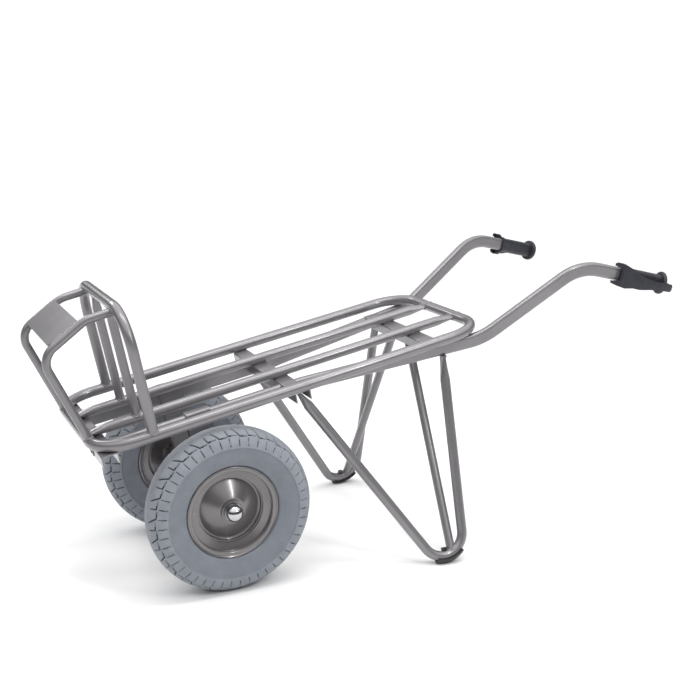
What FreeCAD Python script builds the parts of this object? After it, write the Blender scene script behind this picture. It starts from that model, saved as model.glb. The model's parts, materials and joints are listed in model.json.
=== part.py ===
"""Two-wheeled tubular steel carrying cart: bed, front rack, handles, legs and wheels.

Frame: +X towards the grips, +Y to the right of a person pushing, +Z up.
The origin is on the floor, under the middle of the cart's bounding box.
The bed is tilted, so most of the frame is laid out in bed coordinates:
s along the bed towards the grips, y across it, n square to it and upwards.
"""
import FreeCAD, Part
import math
import os

V = FreeCAD.Vector

# ---------------------------------------------------------------- driving sizes (mm, degrees)
AXLE_X = -393.8            # axle, measured from the middle of the cart
WHEEL_RADIUS = 200.0       # nominal 400 mm tyre on an 8 inch rim
WHEEL_CENTRE_Y = 209.5     # middle plane of each wheel

BED_HEIGHT = 440.0         # rail centrelines above the floor, over the axle
BED_TILT = 11.0            # the bed rises towards the grips
BED_FRONT = -305.0         # front bar, s
BED_REAR = 695.0           # rear bar, s
BED_HALF_WIDTH = 220.0     # outer rail centrelines
INNER_RAIL_Y = 73.5
BED_CORNER = 90.0          # bend radius at the four corners
RAIL_RADIUS = 13.45        # 26.9 mm tube
INNER_RADIUS = 12.5        # 25 mm tube
WALL = 2.0

CHANNEL_WIDTH = 40.0       # three folded cross members under the rails
CHANNEL_DEPTH = 26.5
CHANNEL_SHEET = 3.0
CHANNELS = {               # s of the middle, half length; the rear one ends on the handle tubes
    "front": (-283.0, 215.0),
    "middle": (190.0, 215.0),
    "rear": (570.0, 180.0),
}

RACK_S = -178.0            # front rack stands square on the bed
RACK_HEIGHT = 289.5
RACK_CORNER = 90.0
RACK_RADIUS = 12.5
UPRIGHT_RADIUS = 11.0
STRUT_Y = 135.0
STRUT_RADIUS = 10.0
PLATE_LENGTH = 85.0
PLATE_START = 12.0         # below the strut's upper corner, along the slope
PLATE_HALF_WIDTH = 130.0
PLATE_SHEET = 2.0

HANDLE_WIDTH = 20.0        # flat-sided oval tube
HANDLE_HEIGHT = 35.0
HANDLE_ROUND = 8.0
HANDLE_INNER_Y = 115.0     # the two tubes run parallel between the wheels
HANDLE_SPREAD_S = 225.0    # and spread from here to the grips
HANDLE_SPREAD = 0.195      # outwards, per unit of s

LEG_RADIUS = 12.5
LEG_BEND = 56.0
PAD_THICKNESS = 6.0        # trimmed flat where it stands on the floor
PAD_LIP = 7.0              # the pad starts this far outside the tube's centreline
PAD_FRONT = -16.0          # ends of the pad, degrees behind the lowest point of the bend
PAD_REAR = 48.0
BOLT_ANGLE = 4.0           # pad bolt
NUT_RADIUS = 7.5           # across the corners / 2
BRACE_ANGLE = 24.0
BRACE_RADIUS = 11.0

AXLE_RADIUS = 10.0
AXLE_END = 252.0
BRACKET_S = -45.8          # square below the bed, over the axle
BRACKET_LENGTH = 60.0
BRACKET_SHEET = 4.0
RUNNING_FIT = 0.05
BODY_GAP = 0.4
CAP_RADIUS = 20.0
CAP_SKIRT = 13.0
CAP_DOME = 13.0

TYRE_HALF_WIDTH = 49.0
SEAT_RADIUS = 101.3        # bead seat of an 8 inch rim
FLANGE_RADIUS = 112.0
WELL_RADIUS = 84.0
RIM_SHEET = 2.3
BEAD_Y = 29.5
DISC_OFFSET = 6.0          # the disc sits this far outside the wheel's middle plane
HUB_RADIUS = 27.0
BEARING_RADIUS = 23.5      # 20 x 47 x 14 ball bearings
BEARING_WIDTH = 14.0

GRIP_LENGTH = 126.0
GUARD_BULGE = 42.0         # how far the knuckle guard stands out from the tube
GUARD_TAIL = 21.0          # how far it reaches behind the tube's end

# ---------------------------------------------------------------- bed coordinates
TILT = math.radians(BED_TILT)
BED_ORIGIN = V(AXLE_X, 0, BED_HEIGHT)
ALONG = V(math.cos(TILT), 0, math.sin(TILT))
ACROSS = V(0, 1, 0)
SQUARE = V(-math.sin(TILT), 0, math.cos(TILT))
BED_PLACEMENT = FreeCAD.Placement(BED_ORIGIN, FreeCAD.Rotation(V(0, 1, 0), -BED_TILT))


def bed(s, y, n):
    """Point given in bed coordinates."""
    return BED_ORIGIN + ALONG * s + ACROSS * y + SQUARE * n


def bed_coordinates(point):
    """Bed coordinates (s, y, n) of a point."""
    offset = point - BED_ORIGIN
    return offset.dot(ALONG), offset.y, offset.dot(SQUARE)


def on_bed(shape):
    """Shape drawn in bed coordinates, moved to its real place."""
    shape.Placement = BED_PLACEMENT.multiply(shape.Placement)
    return shape


# ---------------------------------------------------------------- sections and bent tubes
def frame_at(origin, x_axis, z_axis):
    """Placement with its local X and Z along the given directions."""
    y_axis = z_axis.cross(x_axis)
    return FreeCAD.Placement(origin, FreeCAD.Rotation(x_axis, y_axis, z_axis, "ZXY"))


def ring(centre, direction, radius, wall=0.0):
    """Round tube section, or a full disc if wall is zero."""
    outer = Part.Wire(Part.Circle(centre, direction, radius).toShape())
    if wall == 0.0:
        return Part.Face(outer)
    inner = Part.Wire(Part.Circle(centre, direction, radius - wall).toShape())
    return Part.Face(outer).cut(Part.Face(inner)).Faces[0]


def oval_wire(width, height, corner):
    """Rounded rectangle about the origin, width along X and height along Y."""
    half_w = width / 2
    half_h = height / 2
    outline = Part.makePlane(width, height, V(-half_w, -half_h, 0)).OuterWire
    face = Part.Face(outline)
    solid = face.extrude(V(0, 0, 1))
    uprights = [e for e in solid.Edges if abs(e.tangentAt(e.FirstParameter).z) > 0.9]
    rounded = solid.makeFillet(corner, uprights)
    bottom = [f for f in rounded.Faces if f.normalAt(0, 0).z < -0.9][0]
    return bottom.OuterWire


def unit(vector):
    return V(vector).normalize()


def bent(points, radii, section):
    """Section carried along straight runs joined by tangent arcs, as one solid.

    radii holds one bend radius for each inner point.
    """
    pieces = []
    position = points[0]
    last = len(points) - 1
    for i in range(1, len(points)):
        direction = unit(points[i] - points[i - 1])
        if i == last:
            pieces.append(section.extrude(points[i] - position))
            break
        following = unit(points[i + 1] - points[i])
        turn = direction.getAngle(following)
        radius = radii[i - 1]
        run_end = points[i] - direction * (radius * math.tan(turn / 2))
        run = run_end - position
        pieces.append(section.extrude(run))
        axis = unit(direction.cross(following))
        centre = run_end + axis.cross(direction) * radius
        section = section.translated(run)
        pieces.append(section.revolve(centre, axis, math.degrees(turn)))
        section = section.rotated(centre, axis, math.degrees(turn))
        position = run_end + (direction + following) * (radius * math.tan(turn / 2))
    return pieces[0].multiFuse(pieces[1:]).removeSplitter()


def round_tube(points, radii, radius, wall=0.0):
    """Bent round tube through the points."""
    return bent(points, radii, ring(points[0], unit(points[1] - points[0]), radius, wall))


def flattened_end(start, end, wide, radius, half_width, half_thickness, tab):
    """Pinched tube end: round at start, flat at end, with a flat tab of length tab."""
    direction = unit(end - start)
    flat_start = end - direction * tab
    across = unit(wide - direction * wide.dot(direction))
    circle = Part.Wire(Part.Circle(V(0, 0, 0), V(0, 0, 1), radius).toShape())
    ellipse = Part.Wire(Part.Ellipse(V(0, 0, 0), half_width, half_thickness).toShape())
    circle.Placement = frame_at(start, across, direction)
    ellipse.Placement = frame_at(flat_start, across, direction)
    taper = Part.makeLoft([circle, ellipse], True, True)
    flat = Part.Face(ellipse).extrude(direction * tab)
    return taper.fuse(flat)


def largest(shape):
    """Largest solid of a cut, which drops the offcuts of a coped end."""
    return max(shape.Solids, key=lambda solid: solid.Volume)


def mirrored(shape):
    """The same piece on the other side of the cart."""
    return shape.mirror(V(0, 0, 0), V(0, 1, 0))


parts = {}


def pair(name, right_shape):
    """Store the right piece and its mirror image on the left."""
    parts[name + "_right"] = right_shape
    parts[name + "_left"] = mirrored(right_shape)


# ---------------------------------------------------------------- bed
middle_s = (BED_FRONT + BED_REAR) / 2
loop_points = [
    bed(middle_s, BED_HALF_WIDTH, 0),
    bed(BED_REAR, BED_HALF_WIDTH, 0),
    bed(BED_REAR, -BED_HALF_WIDTH, 0),
    bed(BED_FRONT, -BED_HALF_WIDTH, 0),
    bed(BED_FRONT, BED_HALF_WIDTH, 0),
    bed(middle_s, BED_HALF_WIDTH, 0),
]
loop_core = round_tube(loop_points, [BED_CORNER] * 4, RAIL_RADIUS)
parts["bed_loop"] = round_tube(loop_points, [BED_CORNER] * 4, RAIL_RADIUS, WALL)


def inner_rail(wall):
    """Inner bed rail, pinched flat where it meets the front and rear bars."""
    taper = 55.0
    front_round = bed(BED_FRONT + taper, INNER_RAIL_Y, 0)
    rear_round = bed(BED_REAR - taper, INNER_RAIL_Y, 0)
    rail = round_tube([front_round, rear_round], [], INNER_RADIUS, wall)
    front = flattened_end(front_round, bed(BED_FRONT, INNER_RAIL_Y, 0), ACROSS, INNER_RADIUS, 16, 6.5, 16)
    rear = flattened_end(rear_round, bed(BED_REAR, INNER_RAIL_Y, 0), ACROSS, INNER_RADIUS, 16, 6.5, 16)
    return rail.multiFuse([front, rear])


inner_core = inner_rail(0.0)
pair("bed_inner_rail", largest(inner_rail(WALL).cut(loop_core)))

# ---------------------------------------------------------------- handle tubes
HANDLE_N = -INNER_RADIUS - CHANNEL_SHEET - HANDLE_HEIGHT / 2
RISE_S = 695.0             # the tubes leave the bed upwards here
PEAK = (976.0, 90.0)       # corner of the upper bend, s and n
GRIP_END = (1188.0, -6.6)  # rear end of the tube, s and n


def handle_y(s):
    """Sideways position of the right handle tube."""
    return HANDLE_INNER_Y + HANDLE_SPREAD * max(0.0, s - HANDLE_SPREAD_S)


handle_points = [
    bed(BED_FRONT + 6, HANDLE_INNER_Y, HANDLE_N),
    bed(HANDLE_SPREAD_S, HANDLE_INNER_Y, HANDLE_N),
    bed(RISE_S, handle_y(RISE_S), HANDLE_N),
    bed(PEAK[0], handle_y(PEAK[0]), PEAK[1]),
    bed(GRIP_END[0], handle_y(GRIP_END[0]), GRIP_END[1]),
]
HANDLE_BENDS = [220.0, 180.0, 125.0]


def handle_section(grow):
    """Flat-sided oval section at the tube's front end, grown outwards by grow."""
    wire = oval_wire(HANDLE_WIDTH + 2 * grow, HANDLE_HEIGHT + 2 * grow, HANDLE_ROUND + grow)
    wire.Placement = frame_at(handle_points[0], ACROSS * -1, ALONG)
    return wire


handle_core = bent(handle_points, HANDLE_BENDS, Part.Face(handle_section(0)))
hollow_section = Part.Face([handle_section(0), handle_section(-WALL)])
pair("handle_tube", bent(handle_points, HANDLE_BENDS, hollow_section))
both_handles = handle_core.fuse(mirrored(handle_core))

# ---------------------------------------------------------------- cross members
def channel(centre_s, half_length):
    """Folded channel, open downwards, notched over the two handle tubes."""
    top = -INNER_RADIUS
    length = 2 * half_length
    corner = V(centre_s - CHANNEL_WIDTH / 2, -half_length, top - CHANNEL_DEPTH)
    block = Part.makeBox(CHANNEL_WIDTH, length, CHANNEL_DEPTH, corner)
    top_edges = [e for e in block.Edges if e.BoundBox.ZMin > top - 0.1 and e.BoundBox.YLength > 1]
    block = block.makeFillet(CHANNEL_SHEET + 1.0, top_edges)
    inside = V(corner.x + CHANNEL_SHEET, corner.y - 1, corner.z - 1)
    inner_width = CHANNEL_WIDTH - 2 * CHANNEL_SHEET
    hollow = Part.makeBox(inner_width, length + 2, CHANNEL_DEPTH + 1 - CHANNEL_SHEET, inside)
    return largest(on_bed(block.cut(hollow)).cut(both_handles).cut(loop_core))


for position, (centre_s, half_length) in CHANNELS.items():
    parts["cross_member_" + position] = channel(centre_s, half_length)

# ---------------------------------------------------------------- front rack
hoop_points = [
    bed(RACK_S, -BED_HALF_WIDTH, 0),
    bed(RACK_S, -BED_HALF_WIDTH, RACK_HEIGHT),
    bed(RACK_S, BED_HALF_WIDTH, RACK_HEIGHT),
    bed(RACK_S, BED_HALF_WIDTH, 0),
]
hoop_core = round_tube(hoop_points, [RACK_CORNER] * 2, RACK_RADIUS)
hoop = round_tube(hoop_points, [RACK_CORNER] * 2, RACK_RADIUS, WALL)
parts["rack_hoop"] = largest(hoop.cut(loop_core))

upright_foot = bed(RACK_S, INNER_RAIL_Y, 0)
upright_taper = bed(RACK_S, INNER_RAIL_Y, RACK_HEIGHT - 45)
upright_top = bed(RACK_S, INNER_RAIL_Y, RACK_HEIGHT)
upright = round_tube([upright_foot, upright_taper], [], UPRIGHT_RADIUS, WALL)
upright_head = flattened_end(upright_taper, upright_top, ACROSS, UPRIGHT_RADIUS, 14, 6, 14)
pair("rack_upright", largest(upright.fuse(upright_head).cut(hoop_core).cut(inner_core)))

strut_points = [
    bed(RACK_S, STRUT_Y, 279.5),
    bed(-248, STRUT_Y, 276.5),
    bed(-361, STRUT_Y, 221),
    bed(BED_FRONT, STRUT_Y, 3),
]
STRUT_BENDS = [60.0, 45.0]
strut_core = round_tube(strut_points, STRUT_BENDS, STRUT_RADIUS)
strut = round_tube(strut_points, STRUT_BENDS, STRUT_RADIUS, WALL)
pair("rack_strut", largest(strut.cut(hoop_core).cut(loop_core)))

plate_fall = unit(strut_points[2] - strut_points[1])
plate_up = unit(ACROSS.cross(plate_fall))
plate_start = strut_points[1] - ACROSS * STRUT_Y + plate_fall * PLATE_START + plate_up * (STRUT_RADIUS - 1.6)
plate_frame = frame_at(plate_start, plate_fall, plate_up)
plate = Part.makeBox(PLATE_LENGTH, 2 * PLATE_HALF_WIDTH, PLATE_SHEET, V(0, -PLATE_HALF_WIDTH, 0))
plate_corners = [e for e in plate.Edges if e.BoundBox.ZLength > 1]
plate = plate.makeFillet(6, plate_corners)
plate.Placement = plate_frame
parts["rack_top_plate"] = largest(plate.cut(strut_core).cut(mirrored(strut_core)))

# ---------------------------------------------------------------- legs
WEB_N = -INNER_RADIUS - CHANNEL_SHEET
LEG_FRONT_TOP = bed(188.0, 160.0, WEB_N)
HANDLE_BOTTOM = HANDLE_N - HANDLE_HEIGHT / 2
LEG_REAR_TOP = bed(584.5, 189.0, HANDLE_BOTTOM)
LEG_VERTEX = V(AXLE_X + 583.0, 351.0, -104.7)    # where the two straight arms would meet
PINCH = 60.0
above_web = on_bed(Part.makeBox(1000, 800, 60, V(0, -400, WEB_N)))
above_rear_top = on_bed(Part.makeBox(150, 150, 60, V(510, 120, HANDLE_BOTTOM)))
leg_down = unit(LEG_VERTEX - LEG_FRONT_TOP)
leg_up = unit(LEG_REAR_TOP - LEG_VERTEX)
leg_wide = unit(leg_down.cross(leg_up))
leg_front_round = LEG_FRONT_TOP + leg_down * PINCH
leg_rear_round = LEG_REAR_TOP - leg_up * PINCH
leg_points = [leg_front_round, LEG_VERTEX, leg_rear_round]


def leg(wall):
    """Leg hoop: one tube bent to a V, with both ends pinched flat."""
    front_top = LEG_FRONT_TOP - leg_down * 6
    rear_top = LEG_REAR_TOP + leg_up * 12
    front_tab = flattened_end(leg_front_round, front_top, leg_wide, LEG_RADIUS, 17, 4.5, 30)
    rear_tab = flattened_end(leg_rear_round, rear_top, leg_wide, LEG_RADIUS, 17, 4.5, 24)
    hoop = round_tube(leg_points, [LEG_BEND], LEG_RADIUS, wall)
    return hoop.multiFuse([front_tab, rear_tab])


leg_inwards = unit(leg_up - leg_down)
bend_centre = LEG_VERTEX + leg_inwards * (LEG_BEND / math.cos(leg_down.getAngle(leg_up) / 2))
foot_down = unit(V(0, 0, -1) + leg_wide * leg_wide.z)
leg_core = leg(0.0)


def around_foot(angle):
    """Direction from the bend's centre to its tube, angle degrees behind the lowest point."""
    return FreeCAD.Rotation(leg_wide, angle).multVec(foot_down)


bolt_direction = around_foot(BOLT_ANGLE)
bolt_start = bend_centre + bolt_direction * (LEG_BEND - LEG_RADIUS - 7.5)
bolt_shank = Part.makeCylinder(4.0, 2 * LEG_RADIUS + 7.5 + 3.0, bolt_start, bolt_direction)
nut_corners = [math.radians(angle) for angle in range(0, 361, 60)]
nut_points = [V(NUT_RADIUS * math.cos(corner), NUT_RADIUS * math.sin(corner), 0) for corner in nut_corners]
nut = Part.Face(Part.makePolygon(nut_points)).extrude(V(0, 0, 6.5))
nut.Placement = frame_at(bolt_start + bolt_direction * 0.2, leg_wide, bolt_direction)
foot_bolt = bolt_shank.fuse(nut)
parts["foot_bolts"] = Part.makeCompound([foot_bolt, mirrored(foot_bolt)])

leg_shape = leg(WALL).cut(above_web).cut(above_rear_top).cut(foot_bolt)
pair("leg_hoop", largest(leg_shape))

pad_start = around_foot(PAD_FRONT)
pad_centre = bend_centre + pad_start * LEG_BEND
pad_direction = unit(pad_start.cross(leg_wide))
pad_radius = LEG_RADIUS + PAD_THICKNESS
outer_y = math.sqrt(pad_radius ** 2 - PAD_LIP ** 2)
tube_y = math.sqrt(LEG_RADIUS ** 2 - PAD_LIP ** 2)
pad_outline = Part.Wire([
    Part.Arc(V(PAD_LIP, -outer_y, 0), V(pad_radius, 0, 0), V(PAD_LIP, outer_y, 0)).toShape(),
    Part.makeLine(V(PAD_LIP, outer_y, 0), V(PAD_LIP, tube_y, 0)),
    Part.Arc(V(PAD_LIP, tube_y, 0), V(LEG_RADIUS, 0, 0), V(PAD_LIP, -tube_y, 0)).toShape(),
    Part.makeLine(V(PAD_LIP, -tube_y, 0), V(PAD_LIP, -outer_y, 0)),
])
pad_outline.Placement = frame_at(pad_centre, pad_start, pad_direction)
pad = Part.Face(pad_outline).revolve(bend_centre, leg_wide, PAD_REAR - PAD_FRONT)
below_floor = Part.makeBox(400, 400, 50, V(AXLE_X + 330, 150, -50))
pair("foot_pad", largest(pad.cut(bolt_shank).cut(below_floor)))

# ---------------------------------------------------------------- braces
BRACE_TOP = bed(572.0, 30.0, WEB_N)
brace_foot = bend_centre + around_foot(BRACE_ANGLE) * LEG_BEND
brace_line = unit(brace_foot - BRACE_TOP)
brace = round_tube([BRACE_TOP - brace_line * 16, brace_foot], [], BRACE_RADIUS, WALL)
pair("leg_brace", largest(brace.cut(leg_core).cut(above_web).cut(foot_bolt)))

# ---------------------------------------------------------------- axle and its brackets
axle_centre = V(AXLE_X, 0, WHEEL_RADIUS)
axle = Part.makeCylinder(AXLE_RADIUS, 2 * AXLE_END, V(AXLE_X, -AXLE_END, WHEEL_RADIUS), V(0, 1, 0))
parts["axle"] = axle.makeChamfer(1.0, [e for e in axle.Edges if e.Closed and e.BoundBox.YLength < 0.1])

axle_n = bed_coordinates(axle_centre)[2]
bracket_inner = HANDLE_WIDTH / 2
bracket_outer = bracket_inner + BRACKET_SHEET
cheek_top = HANDLE_N + HANDLE_HEIGHT / 2 + BRACKET_SHEET
cheek_outline = Part.makePolygon([
    V(BRACKET_S - BRACKET_LENGTH / 2, 0, cheek_top),
    V(BRACKET_S + BRACKET_LENGTH / 2, 0, cheek_top),
    V(BRACKET_S + BRACKET_LENGTH / 2, 0, HANDLE_N - 30),
    V(BRACKET_S + 19, 0, axle_n),
    V(BRACKET_S - 19, 0, axle_n),
    V(BRACKET_S - BRACKET_LENGTH / 2, 0, HANDLE_N - 30),
    V(BRACKET_S - BRACKET_LENGTH / 2, 0, cheek_top),
])
cheek_face = Part.Face(cheek_outline)
bracket_y = HANDLE_INNER_Y - bracket_outer
block = cheek_face.extrude(V(0, 2 * bracket_outer, 0)).translated(V(0, bracket_y, 0))
nose = Part.makeCylinder(19, 2 * bracket_outer, V(BRACKET_S, bracket_y, axle_n), V(0, 1, 0))
top_edges = [e for e in block.Edges if e.BoundBox.ZMin > cheek_top - 0.1 and e.BoundBox.YLength < 0.1]
block = block.makeFillet(6.0, top_edges)
slot_height = cheek_top - BRACKET_SHEET - axle_n + 30
slot_corner = V(BRACKET_S - 50, HANDLE_INNER_Y - bracket_inner, axle_n - 30)
slot = Part.makeBox(100, HANDLE_WIDTH, slot_height, slot_corner)
bracket = on_bed(block.fuse(nose).cut(slot)).cut(handle_core).cut(axle)
pair("axle_bracket", largest(bracket))


def in_wheel(point):
    """Point of an outline about the axle line, given as (y, radius)."""
    return V(AXLE_X + point[1], point[0], WHEEL_RADIUS)


def revolved(start, *steps):
    """Solid of revolution about the axle line.

    Each step is the next (y, radius) corner, or a pair (through, to) for an arc.
    """
    edges = []
    here = in_wheel(start)
    for step in steps:
        if isinstance(step[0], tuple):
            through, to = (in_wheel(point) for point in step)
            edges.append(Part.Arc(here, through, to).toShape())
        else:
            to = in_wheel(step)
            edges.append(Part.makeLine(here, to))
        here = to
    if here.distanceToPoint(in_wheel(start)) > 0.01:
        edges.append(Part.makeLine(here, in_wheel(start)))
    return Part.Face(Part.Wire(edges)).revolve(axle_centre, V(0, 1, 0), 360)


def sleeve(y_start, y_end, inner, outer):
    """Plain ring on the axle line."""
    return revolved((y_start, inner), (y_end, inner), (y_end, outer), (y_start, outer))


hub_inner_y = WHEEL_CENTRE_Y - 48.0
hub_outer_y = WHEEL_CENTRE_Y + 22.5 + DISC_OFFSET
spacer_start = HANDLE_INNER_Y + bracket_outer
pair("axle_spacer", sleeve(spacer_start, hub_inner_y - BODY_GAP, AXLE_RADIUS, 14.0))
bush_start = HANDLE_INNER_Y - bracket_inner
pair("bracket_bush", sleeve(bush_start, bush_start + HANDLE_WIDTH, AXLE_RADIUS, 14.0))
washer_start = hub_outer_y + BODY_GAP
washer_end = washer_start + 3.0
washer = sleeve(washer_start, washer_end, AXLE_RADIUS, 21.0)
parts["axle_washers"] = Part.makeCompound([washer, mirrored(washer)])

skirt_end = washer_end + CAP_SKIRT
dome_radius = (CAP_RADIUS ** 2 + CAP_DOME ** 2) / (2 * CAP_DOME)
dome = Part.makeSphere(dome_radius, V(AXLE_X, skirt_end + CAP_DOME - dome_radius, WHEEL_RADIUS))
skirt = sleeve(washer_end, skirt_end, AXLE_RADIUS, CAP_RADIUS)
crown = Part.makeCylinder(CAP_RADIUS, 2 * CAP_DOME, V(AXLE_X, skirt_end, WHEEL_RADIUS), V(0, 1, 0))
pair("axle_cap", skirt.fuse(crown.common(dome)).removeSplitter())

# ---------------------------------------------------------------- wheels
mid = WHEEL_CENTRE_Y
pair("tyre", revolved(
    (mid - BEAD_Y, SEAT_RADIUS),
    (mid + BEAD_Y, SEAT_RADIUS),
    (mid + BEAD_Y, FLANGE_RADIUS + 1.5),
    ((mid + 40, 126), (mid + 47, 146)),
    (mid + TYRE_HALF_WIDTH, 163),
    ((mid + 40, 184.5), (mid + 22, 197)),
    ((mid, WHEEL_RADIUS), (mid - 22, 197)),
    ((mid - 40, 184.5), (mid - TYRE_HALF_WIDTH, 163)),
    (mid - 47, 146),
    ((mid - 40, 126), (mid - BEAD_Y, FLANGE_RADIUS + 1.5)),
))

pair("rim", revolved(
    (mid, WELL_RADIUS),
    (mid + 11, WELL_RADIUS),
    (mid + 16, SEAT_RADIUS),
    (mid + BEAD_Y, SEAT_RADIUS),
    (mid + BEAD_Y, FLANGE_RADIUS - 2),
    ((mid + BEAD_Y + 2, FLANGE_RADIUS), (mid + BEAD_Y + 4.5, FLANGE_RADIUS - 1.5)),
    (mid + BEAD_Y + 3.2, FLANGE_RADIUS - 3.5),
    ((mid + BEAD_Y + 2.4, FLANGE_RADIUS - 3.8), (mid + BEAD_Y + RIM_SHEET, FLANGE_RADIUS - 5)),
    (mid + BEAD_Y + RIM_SHEET, SEAT_RADIUS + 1),
    ((mid + BEAD_Y + 1.2, SEAT_RADIUS - 1.4), (mid + BEAD_Y - 1, SEAT_RADIUS - RIM_SHEET)),
    (mid + 17.6, SEAT_RADIUS - RIM_SHEET),
    (mid + 12.8, WELL_RADIUS - RIM_SHEET),
    (mid - 12.8, WELL_RADIUS - RIM_SHEET),
    (mid - 17.6, SEAT_RADIUS - RIM_SHEET),
    (mid - BEAD_Y + 1, SEAT_RADIUS - RIM_SHEET),
    ((mid - BEAD_Y - 1.2, SEAT_RADIUS - 1.4), (mid - BEAD_Y - RIM_SHEET, SEAT_RADIUS + 1)),
    (mid - BEAD_Y - RIM_SHEET, FLANGE_RADIUS - 5),
    ((mid - BEAD_Y - 2.4, FLANGE_RADIUS - 3.8), (mid - BEAD_Y - 3.2, FLANGE_RADIUS - 3.5)),
    (mid - BEAD_Y - 4.5, FLANGE_RADIUS - 1.5),
    ((mid - BEAD_Y - 2, FLANGE_RADIUS), (mid - BEAD_Y, FLANGE_RADIUS - 2)),
    (mid - BEAD_Y, SEAT_RADIUS),
    (mid - 16, SEAT_RADIUS),
    (mid - 11, WELL_RADIUS),
))

well_inside = WELL_RADIUS - RIM_SHEET
disc = WHEEL_CENTRE_Y + DISC_OFFSET
pair("wheel_disc", revolved(
    (disc - 8, well_inside),
    (disc + 3, well_inside),
    (disc + 3, well_inside - 3),
    (disc - 4, well_inside - 3),
    ((disc - 7, well_inside - 6), (disc - 6, well_inside - 11)),
    ((disc + 8, 48), (disc + 17, 32)),
    (disc + 17, HUB_RADIUS),
    (disc + 14, HUB_RADIUS),
    (disc + 14, 32),
    ((disc + 4.5, 48), (disc - 9.5, well_inside - 11)),
    ((disc - 11, well_inside - 4), (disc - 8, well_inside)),
))

pocket = BEARING_WIDTH + 0.5
pair("wheel_hub", revolved(
    (hub_inner_y, HUB_RADIUS),
    (hub_outer_y, HUB_RADIUS),
    (hub_outer_y, BEARING_RADIUS),
    (hub_outer_y - pocket, BEARING_RADIUS),
    (hub_outer_y - pocket, BEARING_RADIUS - 2.5),
    (hub_inner_y + pocket, BEARING_RADIUS - 2.5),
    (hub_inner_y + pocket, BEARING_RADIUS),
    (hub_inner_y, BEARING_RADIUS),
))


def bearing(start):
    """Sealed ball bearing with its two seals set back from the faces."""
    bore = AXLE_RADIUS + RUNNING_FIT
    end = start + BEARING_WIDTH
    return revolved(
        (start, bore), (end, bore), (end, 13.5), (end - 1, 13.5), (end - 1, 20.5), (end, 20.5),
        (end, BEARING_RADIUS), (start, BEARING_RADIUS), (start, 20.5), (start + 1, 20.5),
        (start + 1, 13.5), (start, 13.5),
    )


pair("bearing_inner", bearing(hub_inner_y + pocket - BEARING_WIDTH))
pair("bearing_outer", bearing(hub_outer_y - pocket))

# ---------------------------------------------------------------- grips
grip_origin = handle_points[-1]
grip_axis = unit(handle_points[-1] - handle_points[-2])
grip_out = unit(ACROSS - ALONG * HANDLE_SPREAD)
grip_up = unit(grip_axis.cross(grip_out))
grip_placement = frame_at(grip_origin, grip_axis, grip_up)


def oval_bar(width, height, corner, start, end):
    """Oval bar along the grip's axis, in the grip's own frame."""
    wire = oval_wire(width, height, corner)
    wire.Placement = frame_at(V(start, 0, 0), V(0, 1, 0), V(1, 0, 0))
    return Part.Face(wire).extrude(V(end - start, 0, 0))


sleeve_body = oval_bar(HANDLE_WIDTH + 6, HANDLE_HEIGHT + 6, HANDLE_ROUND + 3, -GRIP_LENGTH, 0)
collar_end = -GRIP_LENGTH + 9
front_collar = oval_bar(HANDLE_WIDTH + 11, HANDLE_HEIGHT + 11, HANDLE_ROUND + 5, -GRIP_LENGTH, collar_end)
flange = Part.makeCylinder(29.5, 10.0, V(-5, 0, 0), V(1, 0, 0))
flange = flange.makeFillet(4.0, [e for e in flange.Edges if e.Closed and e.BoundBox.XLength < 0.1])

guard_plan = Part.Wire([
    Part.Arc(V(-148, 13, -60), V(-78, GUARD_BULGE, -60), V(GUARD_TAIL, 30, -60)).toShape(),
    Part.makeLine(V(GUARD_TAIL, 30, -60), V(GUARD_TAIL, 25.5, -60)),
    Part.Arc(V(GUARD_TAIL, 25.5, -60), V(-78, GUARD_BULGE - 4.5, -60), V(-148, 8.5, -60)).toShape(),
    Part.makeLine(V(-148, 8.5, -60), V(-148, 13, -60)),
])
bridge = Part.makeBox(11.0, 20.0, 120.0, V(-GRIP_LENGTH, 8, -60))
guard_band = Part.Face(guard_plan).extrude(V(0, 0, 120)).fuse(bridge)
guard_side = Part.makePolygon([
    V(-146, 0, 21), V(-146, 0, 27), V(-141, 0, 31), V(-127, 0, 31), V(-118, 0, 28), V(-108, 0, 24.5),
    V(-89, 0, 16), V(-62, 0, 7.5), V(-34, 0, 4.5), V(GUARD_TAIL - 5, 0, 4.5), V(GUARD_TAIL, 0, 0),
    V(GUARD_TAIL, 0, -11), V(GUARD_TAIL - 5, 0, -15.5), V(-6, 0, -15.5), V(-47, 0, -18.7), V(-78, 0, -24.8),
    V(-95, 0, -24.8), V(-114, 0, -30), V(-133, 0, -28), V(-146, 0, -25), V(-148, 0, -19), V(-129, 0, -14),
    V(-129, 0, 21), V(-146, 0, 21),
])
guard = guard_band.common(Part.Face(guard_side).extrude(V(0, 80, 0)))
lug = Part.makeBox(9.0, 16.0, 16.0, V(-4.5, 20, -10))
grip = sleeve_body.multiFuse([front_collar, flange, guard, lug])
grip.Placement = grip_placement
pair("grip", largest(grip.cut(handle_core)))

os.makedirs("parts", exist_ok=True)
for name, shape in parts.items():
    shape.exportStep(f"parts/{name}.step")
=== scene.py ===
"""Looks of the two-wheeled tubular carrying cart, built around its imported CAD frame."""
import json
import math

import bmesh
import bpy
from mathutils import Matrix, Vector


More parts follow.
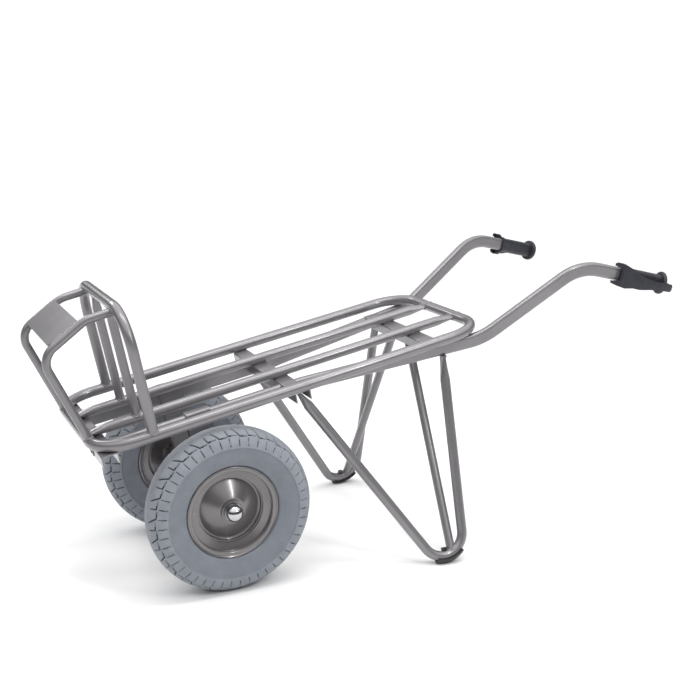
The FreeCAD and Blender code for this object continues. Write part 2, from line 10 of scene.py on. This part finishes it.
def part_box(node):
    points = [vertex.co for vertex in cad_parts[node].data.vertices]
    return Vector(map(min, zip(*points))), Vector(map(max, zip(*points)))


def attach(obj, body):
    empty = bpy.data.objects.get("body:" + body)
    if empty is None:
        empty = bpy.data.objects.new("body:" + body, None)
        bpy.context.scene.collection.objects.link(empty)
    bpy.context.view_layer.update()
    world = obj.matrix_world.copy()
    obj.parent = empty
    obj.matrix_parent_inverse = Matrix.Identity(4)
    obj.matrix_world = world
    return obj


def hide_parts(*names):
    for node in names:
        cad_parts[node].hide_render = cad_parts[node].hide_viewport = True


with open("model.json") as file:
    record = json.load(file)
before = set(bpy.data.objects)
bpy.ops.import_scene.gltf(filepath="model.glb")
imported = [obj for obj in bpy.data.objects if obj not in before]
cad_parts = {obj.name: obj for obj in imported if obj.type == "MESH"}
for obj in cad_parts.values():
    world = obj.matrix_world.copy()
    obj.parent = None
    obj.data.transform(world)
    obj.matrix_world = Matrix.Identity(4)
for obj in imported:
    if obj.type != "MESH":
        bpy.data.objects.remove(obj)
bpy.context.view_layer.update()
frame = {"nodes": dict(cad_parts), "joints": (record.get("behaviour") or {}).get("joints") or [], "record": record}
nodes = frame["nodes"]
scene = bpy.context.scene
axle = Vector(frame["joints"][0]["pos_m"])
axle.y = 0.0


# ---------------------------------------------------------------- material helpers
def new_material(name):
    """Empty node material with its output, shader and object coordinates."""
    material = bpy.data.materials.new(name)
    material.use_nodes = True
    tree = material.node_tree
    tree.nodes.clear()
    output = tree.nodes.new("ShaderNodeOutputMaterial")
    shader = tree.nodes.new("ShaderNodeBsdfPrincipled")
    tree.links.new(shader.outputs["BSDF"], output.inputs["Surface"])
    coordinates = tree.nodes.new("ShaderNodeTexCoord")
    return material, tree, shader, coordinates.outputs["Object"]


def noise(tree, where, scale, detail=4.0, roughness=0.5):
    """Noise factor at the given scale, per metre."""
    node = tree.nodes.new("ShaderNodeTexNoise")
    node.inputs["Scale"].default_value = scale
    node.inputs["Detail"].default_value = detail
    node.inputs["Roughness"].default_value = roughness
    tree.links.new(where, node.inputs["Vector"])
    return node.outputs["Fac"]


def ramp(tree, factor, *stops):
    """Colour ramp over (position, colour) stops."""
    node = tree.nodes.new("ShaderNodeValToRGB")
    elements = node.color_ramp.elements
    while len(elements) < len(stops):
        elements.new(0.5)
    for element, (position, colour) in zip(elements, stops):
        element.position = position
        element.color = (*colour, 1.0)
    tree.links.new(factor, node.inputs["Fac"])
    return node.outputs["Color"]


def spread(tree, factor, low, high):
    """Factor mapped from 0..1 to low..high."""
    node = tree.nodes.new("ShaderNodeMapRange")
    node.inputs["To Min"].default_value = low
    node.inputs["To Max"].default_value = high
    tree.links.new(factor, node.inputs["Value"])
    return node.outputs["Result"]


def bump(tree, shader, height, strength, distance):
    """Bump from a height factor."""
    node = tree.nodes.new("ShaderNodeBump")
    node.inputs["Strength"].default_value = strength
    node.inputs["Distance"].default_value = distance
    tree.links.new(height, node.inputs["Height"])
    tree.links.new(node.outputs["Normal"], shader.inputs["Normal"])


def paint(name, dark, light, metallic, rough_low, rough_high, coat):
    """Glossy metallic paint: fine flake, slow colour drift and orange peel."""
    material, tree, shader, where = new_material(name)
    drift = noise(tree, where, 9.0, 3.0)
    flake = noise(tree, where, 2400.0, 2.0)
    mix = tree.nodes.new("ShaderNodeMix")
    mix.inputs["Factor"].default_value = 0.35
    tree.links.new(drift, mix.inputs["A"])
    tree.links.new(flake, mix.inputs["B"])
    tree.links.new(ramp(tree, mix.outputs["Result"], (0.3, dark), (0.7, light)), shader.inputs["Base Color"])
    shader.inputs["Metallic"].default_value = metallic
    tree.links.new(spread(tree, noise(tree, where, 60.0), rough_low, rough_high), shader.inputs["Roughness"])
    shader.inputs["Coat Weight"].default_value = coat
    shader.inputs["Coat Roughness"].default_value = 0.12
    bump(tree, shader, noise(tree, where, 420.0, 2.0), 0.06, 0.0006)
    return material


frame_paint = paint("frame_paint", (0.180, 0.172, 0.181), (0.234, 0.225, 0.235), 0.45, 0.26, 0.38, 0.45)
rim_paint = paint("rim_paint", (0.150, 0.142, 0.145), (0.190, 0.180, 0.184), 0.45, 0.20, 0.30, 0.5)


def tyre_rubber(name, dark, light):
    """Blue-grey foamed tyre: matt, faintly mottled and dusty. The lighter copy made for the tread carries painted
    light, and the near-black copy for the grooves carries painted shade.
    """
    material, tree, shader, where = new_material(name)
    mottle = noise(tree, where, 38.0, 5.0, 0.6)
    tree.links.new(ramp(tree, mottle, (0.3, dark), (0.7, light)), shader.inputs["Base Color"])
    tree.links.new(spread(tree, noise(tree, where, 150.0), 0.58, 0.74), shader.inputs["Roughness"])
    shader.inputs["Sheen Weight"].default_value = 0.1
    bump(tree, shader, noise(tree, where, 900.0, 4.0, 0.6), 0.25, 0.0004)
    return material


def moulded_black(name, dark, light, grain, rough_low, rough_high):
    """Moulded black rubber or plastic with a fine grain."""
    material, tree, shader, where = new_material(name)
    mottle = noise(tree, where, 70.0, 5.0)
    tree.links.new(ramp(tree, mottle, (0.3, dark), (0.7, light)), shader.inputs["Base Color"])
    tree.links.new(spread(tree, noise(tree, where, 200.0), rough_low, rough_high), shader.inputs["Roughness"])
    bump(tree, shader, noise(tree, where, grain, 3.0, 0.6), 0.3, 0.0003)
    return material


def bare_metal(name, dark, light, rough_low, rough_high, grain):
    """Plated or bright metal with faint turning marks."""
    material, tree, shader, where = new_material(name)
    mottle = noise(tree, where, 45.0, 5.0)
    tree.links.new(ramp(tree, mottle, (0.3, dark), (0.7, light)), shader.inputs["Base Color"])
    shader.inputs["Metallic"].default_value = 1.0
    tree.links.new(spread(tree, noise(tree, where, 300.0), rough_low, rough_high), shader.inputs["Roughness"])
    bump(tree, shader, noise(tree, where, grain, 2.0), 0.05, 0.0002)
    return material


tyre_foam = tyre_rubber("tyre_foam", (0.160, 0.175, 0.202), (0.193, 0.211, 0.241))
# Painted light: a lighter copy of the tyre rubber for the tread, standing in for the tread lit from above.
tyre_tread_painted_light = tyre_rubber("tyre_tread_painted_light", (0.200, 0.217, 0.246), (0.255, 0.275, 0.306))
# Painted shade: a near-black copy of the tyre rubber for the faces deep in the grooves.
tyre_groove_painted_shade = tyre_rubber("tyre_groove_painted_shade", (0.016, 0.018, 0.022), (0.030, 0.033, 0.039))
grip_rubber = moulded_black("grip_rubber", (0.012, 0.012, 0.018), (0.022, 0.023, 0.032), 1300.0, 0.40, 0.55)
pad_plastic = moulded_black("pad_plastic", (0.018, 0.018, 0.019), (0.030, 0.030, 0.031), 900.0, 0.45, 0.6)
chrome = bare_metal("chrome", (0.46, 0.46, 0.47), (0.54, 0.54, 0.55), 0.10, 0.17, 800.0)
bearing = bare_metal("bearing_steel", (0.16, 0.16, 0.165), (0.24, 0.24, 0.24), 0.35, 0.5, 1500.0)
zinc = bare_metal("zinc_steel", (0.38, 0.38, 0.39), (0.50, 0.50, 0.50), 0.28, 0.45, 1500.0)
black_steel = bare_metal("black_steel", (0.05, 0.05, 0.052), (0.09, 0.09, 0.092), 0.35, 0.5, 1200.0)

by_slot = {
    "frame_paint": frame_paint,
    "rim_paint": rim_paint,
    "tyre": tyre_foam,
    "chrome_cap": chrome,
    "plain_steel": zinc,
    "bearing_steel": bearing,
    "black_steel": black_steel,
    "grip_rubber": grip_rubber,
    "pad_plastic": pad_plastic,
}
for subpart in frame["record"]["subparts"]:
    node = nodes[subpart["node"]]
    node.data.materials.clear()
    node.data.materials.append(by_slot[subpart["material_slot"]])


# ---------------------------------------------------------------- mesh helpers
def place_piece(name, mesh, body, material):
    """Smooth mesh as a piece that rides on a CAD body."""
    mesh.polygons.foreach_set("use_smooth", [True] * len(mesh.polygons))
    mesh.materials.clear()
    mesh.materials.append(material)
    mesh.update()
    piece = bpy.data.objects.new(name, mesh)
    scene.collection.objects.link(piece)
    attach(piece, body)
    return piece


def add_piece(name, vertices, faces, body, material):
    """Piece made of the given vertices and faces."""
    mesh = bpy.data.meshes.new(name)
    mesh.from_pydata(vertices, [], faces)
    return place_piece(name, mesh, body, material)


def grid_faces(rows, columns, closed):
    """Quads of a grid that closes round its columns, and where closed is true along its rows too."""
    faces = []
    for i in range(rows if closed else rows - 1):
        this, after = i * columns, (i + 1) % rows * columns
        for j in range(columns):
            k = (j + 1) % columns
            faces.append((this + j, this + k, after + k, after + j))
    return faces


def arc_points(start, through, end, count):
    """Points on the circle through three flat points, the first one left out."""
    (ax, ay), (bx, by), (cx, cy) = start, through, end
    d = 2 * (ax * (by - cy) + bx * (cy - ay) + cx * (ay - by))
    ux = ((ax**2 + ay**2) * (by - cy) + (bx**2 + by**2) * (cy - ay) + (cx**2 + cy**2) * (ay - by)) / d
    uy = ((ax**2 + ay**2) * (cx - bx) + (bx**2 + by**2) * (ax - cx) + (cx**2 + cy**2) * (bx - ax)) / d
    radius = math.hypot(ax - ux, ay - uy)
    first = math.atan2(ay - uy, ax - ux)
    turn = (math.atan2(cy - uy, cx - ux) - first + math.pi) % (2 * math.pi) - math.pi
    angles = [first + turn * i / count for i in range(1, count + 1)]
    return [(ux + radius * math.cos(angle), uy + radius * math.sin(angle)) for angle in angles]


# ---------------------------------------------------------------- tyres
TREAD_REPEATS = 24
COLUMNS_PER_REPEAT = 35
# Each groove: two ends as (degrees round the tyre, mm from the middle), width and depth in mm.
GROOVES = (
    ((5.35, 37.6), (10.7, 38.0), 2.6, 5.0),
    ((5.35, 37.6), (1.15, 16.4), 2.4, 5.0),
    ((12.05, 36.0), (17.75, 36.3), 2.6, 5.0),
    ((12.05, 36.0), (11.05, 20.2), 2.4, 5.0),
    ((4.7, 40.9), (4.9, 48.6), 2.4, 4.0),
    ((12.2, 40.9), (12.5, 48.6), 2.4, 4.0),
)
RIB_GROOVE = (9.0, 1.6, 1.4)    # mm from the middle, width and depth
TREAD_RADIUS = 196.0            # where the grooves' places round the tyre are measured
TREAD_REACH = 70.0              # mm from the crown along the skin, beyond the last groove
SHOULDER_RADIUS = 161.0         # the tread's painted light ends here: beyond this radius the tread takes a lighter copy of the rubber
GROOVE_SHADE = 1.1              # mm deep, from where a groove's faces take painted shade


def half_outline():
    """(offset from the middle, radius) of half a tyre section in mm, crown to bead."""
    points = [(0.0, 200.0)]
    points += arc_points((0.0, 200.0), (11.0, 199.26), (22.0, 197.0), 17)
    points += arc_points((22.0, 197.0), (32.8, 191.8), (40.0, 184.5), 18)
    points += arc_points((40.0, 184.5), (45.9, 174.8), (49.0, 163.0), 18)
    points += [(49.0, 161.2), (48.6, 160.3), (47.2, 159.3), (46.6, 158.0), (46.3, 155.0)]
    points += arc_points((46.3, 155.0), (43.8, 139.0), (38.6, 124.0), 9)
    points += [(37.4, 120.8), (36.8, 118.4), (35.6, 116.2), (34.0, 114.9), (32.0, 114.0)]
    points += [(30.6, 113.2), (29.7, 111.8), (29.5, 107.0), (29.5, 101.4)]
    return points


def smooth_edge(distance, width, depth):
    """Depth of a groove with softened edges at a distance from its middle line."""
    inside = min(1.0, max(0.0, width / 2 + 0.5 - distance))
    return depth * inside * inside * (3 - 2 * inside)


def groove_depth(angle, along, along_at):
    """Depth of the tread pattern, degrees round the tyre and mm from the crown along its skin."""
    per_degree = math.radians(TREAD_RADIUS)
    repeat = 360.0 / TREAD_REPEATS
    offset, width, depth = RIB_GROOVE
    deepest = smooth_edge(abs(along - along_at(offset)), width, depth)
    for (angle_a, offset_a), (angle_b, offset_b), width, depth in GROOVES:
        ex, ey = (angle_b - angle_a) * per_degree, along_at(offset_b) - along_at(offset_a)
        py = along - along_at(offset_a)
        for turn in (-repeat, 0.0, repeat):
            px = (angle % repeat + turn - angle_a) * per_degree
            share = min(1.0, max(0.0, (px * ex + py * ey) / (ex * ex + ey * ey)))
            distance = math.hypot(px - share * ex, py - share * ey)
            deepest = max(deepest, smooth_edge(distance, width, depth))
    return deepest


def tyre(side, sign):
    """Tyre with its block tread, in place of the plain CAD tyre; sign is +1 on the +Y side."""
    low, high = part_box("tyre_" + side)
    middle = (low.y + high.y) / 2
    half = half_outline()
    distances = [0.0]
    for (u0, r0), (u1, r1) in zip(half, half[1:]):
        distances.append(distances[-1] + math.hypot(u1 - u0, r1 - r0))

    def along_at(offset):
        """Distance from the crown along the skin, at an offset from the middle."""
        for k in range(1, len(half)):
            if half[k][0] >= offset:
                share = (offset - half[k - 1][0]) / (half[k][0] - half[k - 1][0])
                return distances[k - 1] + share * (distances[k] - distances[k - 1])
        return distances[-1]

    columns = TREAD_REPEATS * COLUMNS_PER_REPEAT
    step = 360.0 / columns
    rows = [(-u, r, -d) for (u, r), d in reversed(list(zip(half[1:], distances[1:])))]
    rows += [(u, r, d) for (u, r), d in zip(half, distances)]
    vertices = []
    deep = []
    for i, (offset, radius, along) in enumerate(rows):
        before, after = rows[max(0, i - 1)], rows[min(len(rows) - 1, i + 1)]
        tangent = Vector((after[0] - before[0], after[1] - before[1])).normalized()
        shift = 0.0 if along >= 0 else 180.0 / TREAD_REPEATS
        cut = [0.0] * COLUMNS_PER_REPEAT
        if abs(along) < TREAD_REACH:
            cut = [groove_depth(j * step + shift, abs(along), along_at) for j in range(COLUMNS_PER_REPEAT)]
        for j in range(columns):
            depth = cut[j % COLUMNS_PER_REPEAT]
            deep.append(depth > GROOVE_SHADE)
            y = middle + sign * (offset + tangent.y * depth) / 1000
            reach = (radius - tangent.x * depth) / 1000
            angle = math.radians(j * step)
            vertices.append((axle.x - reach * math.cos(angle), y, axle.z + reach * math.sin(angle)))
    faces = grid_faces(len(rows), columns, True)
    if sign > 0:
        faces = [face[::-1] for face in faces]
    piece = add_piece("tyre_tread_painted_light_" + side, vertices, faces, "wheel_" + side, tyre_foam)
    foam_index, groove_painted_shade_index, tread_painted_light_index = 0, 1, 2
    piece.data.materials.append(tyre_groove_painted_shade)
    piece.data.materials.append(tyre_tread_painted_light)
    # Deep groove faces take the painted-shade copy, tread faces beyond the shoulder the painted-light copy, and
    # the rest the plain foam.
    for polygon in piece.data.polygons:
        polygon.material_index = foam_index
        if sum(deep[k] for k in polygon.vertices) >= 3:
            polygon.material_index = groove_painted_shade_index
        elif min(rows[k // columns][1] for k in polygon.vertices) > SHOULDER_RADIUS:
            polygon.material_index = tread_painted_light_index
    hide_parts("tyre_" + side)


tyre("left", -1)
tyre("right", 1)


# ---------------------------------------------------------------- welds
BED_TILT = math.radians(11.0)
ALONG = Vector((math.cos(BED_TILT), 0.0, math.sin(BED_TILT)))
ACROSS = Vector((0.0, 1.0, 0.0))
SQUARE = Vector((-math.sin(BED_TILT), 0.0, math.cos(BED_TILT)))
# Places on the frame, in mm and in bed coordinates except where said: s along, y across, n square to the bed.
BED_HEIGHT = 440.0              # of the bed's origin above the floor, over the axle
BED_FRONT = -305.0
BED_REAR = 695.0
RAIL_Y = 220.0
RAIL_RADIUS = 13.45
INNER_Y = 73.5
INNER_RADIUS = 12.5
RACK_S = -178.0
RACK_HEIGHT = 289.5
UPRIGHT_RADIUS = 11.0
STRUT_Y = 135.0
STRUT_RADIUS = 10.0
STRUT_HEAD = (-178.0, 279.5)    # s and n of a strut's head and of its two corners
STRUT_UPPER = (-248.0, 276.5)
STRUT_LOWER = (-361.0, 221.0)
PLATE_WELD = (18.0, 91.0)       # ends of the plate's bead, down the slope from the strut's upper corner
PLATE_WELD_IN = 4.0             # its place on the strut, inwards of the strut's middle and above it
PLATE_WELD_UP = 9.2
STRUT_FOOT_N = 3.0
WEB_N = -15.5                   # under the cross members' webs, where the legs are welded on
HANDLE_Y = 115.0
HANDLE_SIDE = 10.3              # a handle tube's flat sides, from its middle
HANDLE_BOTTOM = -50.5
LEG_FRONT = (188.0, 160.0)      # s and y of a leg hoop's ends
LEG_REAR = (584.5, 189.0)
LEG_VERTEX = (583.0, 351.0, -104.7)     # from the axle along X, and above the floor: where a hoop's arms meet
LEG_RADIUS = 12.5
LEG_BEND = 56.0
BRACE = (572.0, 30.0)           # s and y of a leg brace's top
BRACE_ANGLE = math.radians(24.0)        # of its foot, round the hoop's bend from the lowest point
# Each cross member: s of its middle, y of the handle tube that it is notched over, and the
# sides of that tube where it is welded.
CROSS_MEMBERS = (
    (-283.0, HANDLE_Y, (-HANDLE_SIDE, HANDLE_SIDE)),
    (190.0, HANDLE_Y, (-HANDLE_SIDE, HANDLE_SIDE)),
    (570.0, 182.3, (-HANDLE_SIDE,)),
)
CHANNEL_FACE = 20.5             # a channel's folded sides, from its middle
CHANNEL_SIDE_WELD = (-18.0, -38.0)      # n of the ends of the beads down those sides
RAIL_WELD_N = -11.6             # beads along both sides of an inner rail where it stands on a web
RAIL_WELD_SIDES = (-5.5, 5.5)
RAIL_WELD_HALF = 14.0
REAR_BEAD = 17.0                # the S-shaped beads on the rear bar, from the inner rails
BRACKET_ENDS = (-75.8, -15.8)
BRACKET_WELD_SIDES = (-6.0, 6.0)
# Half width and half thickness of the pinched tube ends.
UPRIGHT_END = (14.0, 6.0)
INNER_RAIL_END = (16.0, 6.5)
LEG_END = (17.0, 4.5)

# The beads, in m.
WELD_RADIUS = 0.0023
WELD_STEP = 0.0008
RIPPLE = 0.0034
BEAD_SIDES = 8
SWELL = 0.17                    # share of the radius that a ripple adds
TAPER_POINTS = 4                # points over which the end of an open bead runs out


def bed(s, y, n):
    """Point in m, for a place in bed coordinates in mm."""
    return Vector((axle.x, 0.0, BED_HEIGHT / 1000)) + (ALONG * s + ACROSS * y + SQUARE * n) / 1000


def on_tube(point, axis, radius):
    """Finder of the point where a line comes out of a round tube."""
    def meet(start, direction):
        offset = start - point
        offset -= axis * offset.dot(axis)
        sideways = direction - axis * direction.dot(axis)
        a, b = sideways.dot(sideways), offset.dot(sideways)
        c = offset.dot(offset) - (radius / 1000) ** 2
        return start + direction * ((math.sqrt(max(0.0, b * b - a * c)) - b) / a)
    return meet


def on_plane(point, normal):
    """Finder of the point where a line meets a plane."""
    def meet(start, direction):
        return start + direction * ((point - start).dot(normal) / direction.dot(normal))
    return meet


class Welds:
    """Rippled beads gathered into one mesh."""

    def __init__(self):
        self.vertices = []
        self.faces = []

    def bead(self, points, side, closed):
        """Bead along closely spaced points; side is roughly square to its run."""
        first = len(self.vertices)
        count = len(points)
        length = 0.0
        for i, point in enumerate(points):
            after = points[(i + 1) % count] if closed or i + 1 < count else point
            before = points[i - 1] if closed or i > 0 else point
            run = (after - before).normalized()
            out = (side - run * side.dot(run)).normalized()
            other = run.cross(out)
            radius = WELD_RADIUS * (1.0 + SWELL * math.sin(2 * math.pi * length / RIPPLE))
            if not closed:
                to_end = min(i, count - 1 - i)
                radius *= math.sqrt(max(0.02, min(1.0, to_end / TAPER_POINTS)))
            for j in range(BEAD_SIDES):
                angle = 2 * math.pi * j / BEAD_SIDES
                self.vertices.append(point + (out * math.cos(angle) + other * math.sin(angle)) * radius)
            length += (after - point).length
        faces = grid_faces(count, BEAD_SIDES, closed)
        if not closed:
            faces.append(tuple(reversed(range(BEAD_SIDES))))
            faces.append(tuple((count - 1) * BEAD_SIDES + j for j in range(BEAD_SIDES)))
        self.faces += [tuple(first + k for k in reversed(face)) for face in faces]

    def around(self, foot, direction, half_width, half_thickness, wide, meet):
        """Bead round the foot of a straight tube or flat tab that meets another surface."""
        direction = direction.normalized()
        across = (wide - direction * wide.dot(direction)).normalized()
        other = direction.cross(across)
        count = round(math.pi * (half_width + half_thickness) / 1000 / WELD_STEP)
        points = []
        for i in range(count):
            angle = 2 * math.pi * i / count
            start = across * (half_width * math.cos(angle)) + other * (half_thickness * math.sin(angle))
            points.append(meet(foot + start / 1000, direction))
        self.bead(points, direction, True)

    def seam(self, start, end, side):
        """Straight bead from start to end."""
        count = max(6, round((end - start).length / WELD_STEP))
        self.bead([start.lerp(end, i / (count - 1)) for i in range(count)], side, False)

    def over_bar(self, s, y):
        """Low S-shaped bead across the top of a round bar of the bed."""
        points = []
        reach = RAIL_RADIUS - 1.0
        for i in range(45):
            angle = math.radians(20.0 + 2.6 * i)
            sway = 3.0 * math.sin(math.radians(6.0 * i))
            points.append(bed(s - reach * math.cos(angle), y + sway, reach * math.sin(angle)))
        self.bead(points, ACROSS, False)

    def piece(self, name):
        """Make the beads one painted piece of the frame."""
        add_piece(name, self.vertices, self.faces, "frame", frame_paint)


def rack_welds():
    """Hoop, uprights, struts and plate of the front rack."""
    welds = Welds()
    hoop_bar = on_tube(bed(RACK_S, 0, RACK_HEIGHT), ACROSS, INNER_RADIUS)
    front_bar = on_tube(bed(BED_FRONT, 0, 0), ACROSS, RAIL_RADIUS)
    slope = (bed(STRUT_LOWER[0], 0, STRUT_LOWER[1]) - bed(STRUT_UPPER[0], 0, STRUT_UPPER[1])).normalized()
    above = ACROSS.cross(slope)
    for side in (-1, 1):
        outer, inner, strut = RAIL_Y * side, INNER_Y * side, STRUT_Y * side
        outer_rail = on_tube(bed(0, outer, 0), ALONG, RAIL_RADIUS)
        inner_rail = on_tube(bed(0, inner, 0), ALONG, INNER_RADIUS)
        welds.around(bed(RACK_S, outer, 0), SQUARE, INNER_RADIUS, INNER_RADIUS, ALONG, outer_rail)
        welds.around(bed(RACK_S, inner, 0), SQUARE, UPRIGHT_RADIUS, UPRIGHT_RADIUS, ALONG, inner_rail)
        welds.around(bed(RACK_S, inner, RACK_HEIGHT), -SQUARE, *UPRIGHT_END, ACROSS, hoop_bar)
        head = bed(STRUT_HEAD[0], strut, STRUT_HEAD[1])
        upper = bed(STRUT_UPPER[0], strut, STRUT_UPPER[1])
        welds.around(head, upper - head, STRUT_RADIUS, STRUT_RADIUS, ACROSS, hoop_bar)
        foot = bed(BED_FRONT, strut, STRUT_FOOT_N)
        lower = bed(STRUT_LOWER[0], strut, STRUT_LOWER[1])
        welds.around(foot, lower - foot, STRUT_RADIUS, STRUT_RADIUS, ACROSS, front_bar)
        edge = upper - ACROSS * (PLATE_WELD_IN / 1000 * side) + above * (PLATE_WELD_UP / 1000)
        start, end = (edge + slope * (down / 1000) for down in PLATE_WELD)
        welds.seam(start, end, above)
    welds.piece("welds_rack")


def bed_welds():
    """Inner rails, cross members and axle brackets."""
    welds = Welds()
    front_bar = on_tube(bed(BED_FRONT, 0, 0), ACROSS, RAIL_RADIUS)
    rear_bar = on_tube(bed(BED_REAR, 0, 0), ACROSS, RAIL_RADIUS)
    for side in (-1, 1):
        inner = INNER_Y * side
        welds.around(bed(BED_FRONT, inner, 0), ALONG, *INNER_RAIL_END, ACROSS, front_bar)
        welds.around(bed(BED_REAR, inner, 0), -ALONG, *INNER_RAIL_END, ACROSS, rear_bar)
        welds.over_bar(BED_REAR, inner - REAR_BEAD)
        for middle_s, handle, edges in CROSS_MEMBERS:
            for edge in RAIL_WELD_SIDES:
                start = bed(middle_s - RAIL_WELD_HALF, inner + edge, RAIL_WELD_N)
                end = bed(middle_s + RAIL_WELD_HALF, inner + edge, RAIL_WELD_N)
                welds.seam(start, end, SQUARE)
            for edge in edges:
                y = (handle + edge) * side
                for face in (-CHANNEL_FACE, CHANNEL_FACE):
                    start, end = (bed(middle_s + face, y, n) for n in CHANNEL_SIDE_WELD)
                    welds.seam(start, end, ALONG)
        for bracket_s in BRACKET_ENDS:
            start, end = (bed(bracket_s, HANDLE_Y * side + edge, WEB_N + 0.5) for edge in BRACKET_WELD_SIDES)
            welds.seam(start, end, SQUARE)
    welds.piece("welds_bed")


def leg_welds():
    """Tops of the leg hoops and both ends of the braces."""
    welds = Welds()
    web = on_plane(bed(0, 0, WEB_N), SQUARE)
    for side in (-1, 1):
        front_top = bed(LEG_FRONT[0], LEG_FRONT[1] * side, WEB_N)
        rear_top = bed(LEG_REAR[0], LEG_REAR[1] * side, HANDLE_BOTTOM)
        vertex = Vector((axle.x, 0, 0)) + Vector((LEG_VERTEX[0], LEG_VERTEX[1] * side, LEG_VERTEX[2])) / 1000
        down = (vertex - front_top).normalized()
        up = (rear_top - vertex).normalized()
        wide = down.cross(up).normalized()
        welds.around(front_top, down, *LEG_END, wide, web)
        welds.around(rear_top, -up, *LEG_END, wide, on_plane(rear_top, SQUARE))
        bend = LEG_BEND / 1000
        bend_centre = vertex + (up - down).normalized() * (bend / math.cos(down.angle(up) / 2))
        lowest = (Vector((0, 0, -1)) + wide * wide.z).normalized()
        outwards = Matrix.Rotation(BRACE_ANGLE, 3, wide) @ lowest
        brace_top = bed(BRACE[0], BRACE[1] * side, WEB_N)
        brace_foot = bend_centre + outwards * bend
        line = (brace_foot - brace_top).normalized()
        welds.around(brace_top, line, UPRIGHT_RADIUS, UPRIGHT_RADIUS, ALONG, web)
        leg_tube = on_tube(brace_foot, wide.cross(outwards), LEG_RADIUS)
        welds.around(brace_foot, -line, UPRIGHT_RADIUS, UPRIGHT_RADIUS, wide, leg_tube)
    welds.piece("welds_legs")


rack_welds()
bed_welds()
leg_welds()


# ---------------------------------------------------------------- grips
def moulded_grip(side):
    """Grip with the rounded edges of moulded rubber, in place of the sharp CAD grip."""
    mesh = nodes["grip_" + side].data.copy()
    joined = bmesh.new()
    joined.from_mesh(mesh)
    bmesh.ops.remove_doubles(joined, verts=joined.verts, dist=1e-5)
    joined.to_mesh(mesh)
    joined.free()
    piece = place_piece("grip_moulded_" + side, mesh, "frame", grip_rubber)
    edges = piece.modifiers.new("edges", "BEVEL")
    edges.width = 0.0016
    edges.segments = 3
    edges.limit_method = "ANGLE"
    edges.angle_limit = math.radians(35.0)
    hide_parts("grip_" + side)


moulded_grip("left")
moulded_grip("right")


# ---------------------------------------------------------------- floor, light and camera
def floor():
    """Plain pale floor, well beyond the view."""
    mesh = bpy.data.meshes.new("floor")
    built = bmesh.new()
    bmesh.ops.create_circle(built, cap_ends=True, segments=96, radius=30.0)
    built.to_mesh(mesh)
    built.free()
    ground = bpy.data.objects.new("floor", mesh)
    scene.collection.objects.link(ground)
    material, tree, shader, where = new_material("floor_pale")
    tree.links.new(
        ramp(tree, noise(tree, where, 3.0), (0.3, (0.86, 0.86, 0.86)), (0.7, (0.88, 0.88, 0.88))),
        shader.inputs["Base Color"],
    )
    shader.inputs["Roughness"].default_value = 0.9
    mesh.materials.append(material)


def area_light(name, position, target, size, power):
    """Soft white rectangular light aimed at a point."""
    data = bpy.data.lights.new(name, "AREA")
    data.shape = "RECTANGLE"
    data.size, data.size_y = size
    data.energy = power
    light = bpy.data.objects.new(name, data)
    light.location = position
    light.rotation_euler = (target - position).to_track_quat("-Z", "Y").to_euler()
    scene.collection.objects.link(light)


def studio_world():
    """Soft box overhead and dim walls to light the object, seen against plain white."""
    world = bpy.data.worlds.new("studio")
    world.use_nodes = True
    tree = world.node_tree
    background = tree.nodes["Background"]
    coordinates = tree.nodes.new("ShaderNodeTexCoord")
    split = tree.nodes.new("ShaderNodeSeparateXYZ")
    tree.links.new(coordinates.outputs["Generated"], split.inputs["Vector"])
    sky = ramp(
        tree, split.outputs["Z"],
        (0.0, (0.03, 0.03, 0.033)), (0.38, (0.08, 0.08, 0.085)),
        (0.6, (0.72, 0.72, 0.72)), (1.0, (1.0, 1.0, 1.0)),
    )
    path = tree.nodes.new("ShaderNodeLightPath")
    seen = tree.nodes.new("ShaderNodeMix")
    seen.data_type = "RGBA"
    seen.inputs["B"].default_value = (1.0, 1.0, 1.0, 1.0)
    tree.links.new(path.outputs["Is Camera Ray"], seen.inputs["Factor"])
    tree.links.new(sky, seen.inputs["A"])
    tree.links.new(seen.outputs["Result"], background.inputs["Color"])
    background.inputs["Strength"].default_value = 1.85
    scene.world = world


floor()
studio_world()
area_light("top", axle + Vector((0.2, -0.5, 2.7)), axle + Vector((0.35, 0.0, 0.25)), (2.2, 0.4), 24.0)
area_light("strip", axle + Vector((0.97, -2.08, 1.93)), axle, (0.16, 1.0), 16.0)
area_light("back", axle + Vector((-0.75, 2.3, 1.75)), axle + Vector((-0.35, 0.0, 0.44)), (0.9, 0.7), 13.0)

CAMERA_AZIMUTH = math.radians(-25.37)
CAMERA_ELEVATION = math.radians(13.98)
CAMERA_DISTANCE = 2.8686
CAMERA_TARGET = axle + Vector((0.3872, -0.0583, 0.3072))
camera_data = bpy.data.cameras.new("camera")
camera_data.lens = 57.87
camera_data.sensor_width = 36.0
camera = bpy.data.objects.new("camera", camera_data)
back = Vector((
    math.sin(CAMERA_AZIMUTH) * math.cos(CAMERA_ELEVATION),
    -math.cos(CAMERA_AZIMUTH) * math.cos(CAMERA_ELEVATION),
    math.sin(CAMERA_ELEVATION),
))
camera.location = CAMERA_TARGET + back * CAMERA_DISTANCE
camera.rotation_euler = back.to_track_quat("Z", "Y").to_euler()
scene.collection.objects.link(camera)
scene.camera = camera
scene.view_settings.view_transform = "Standard"
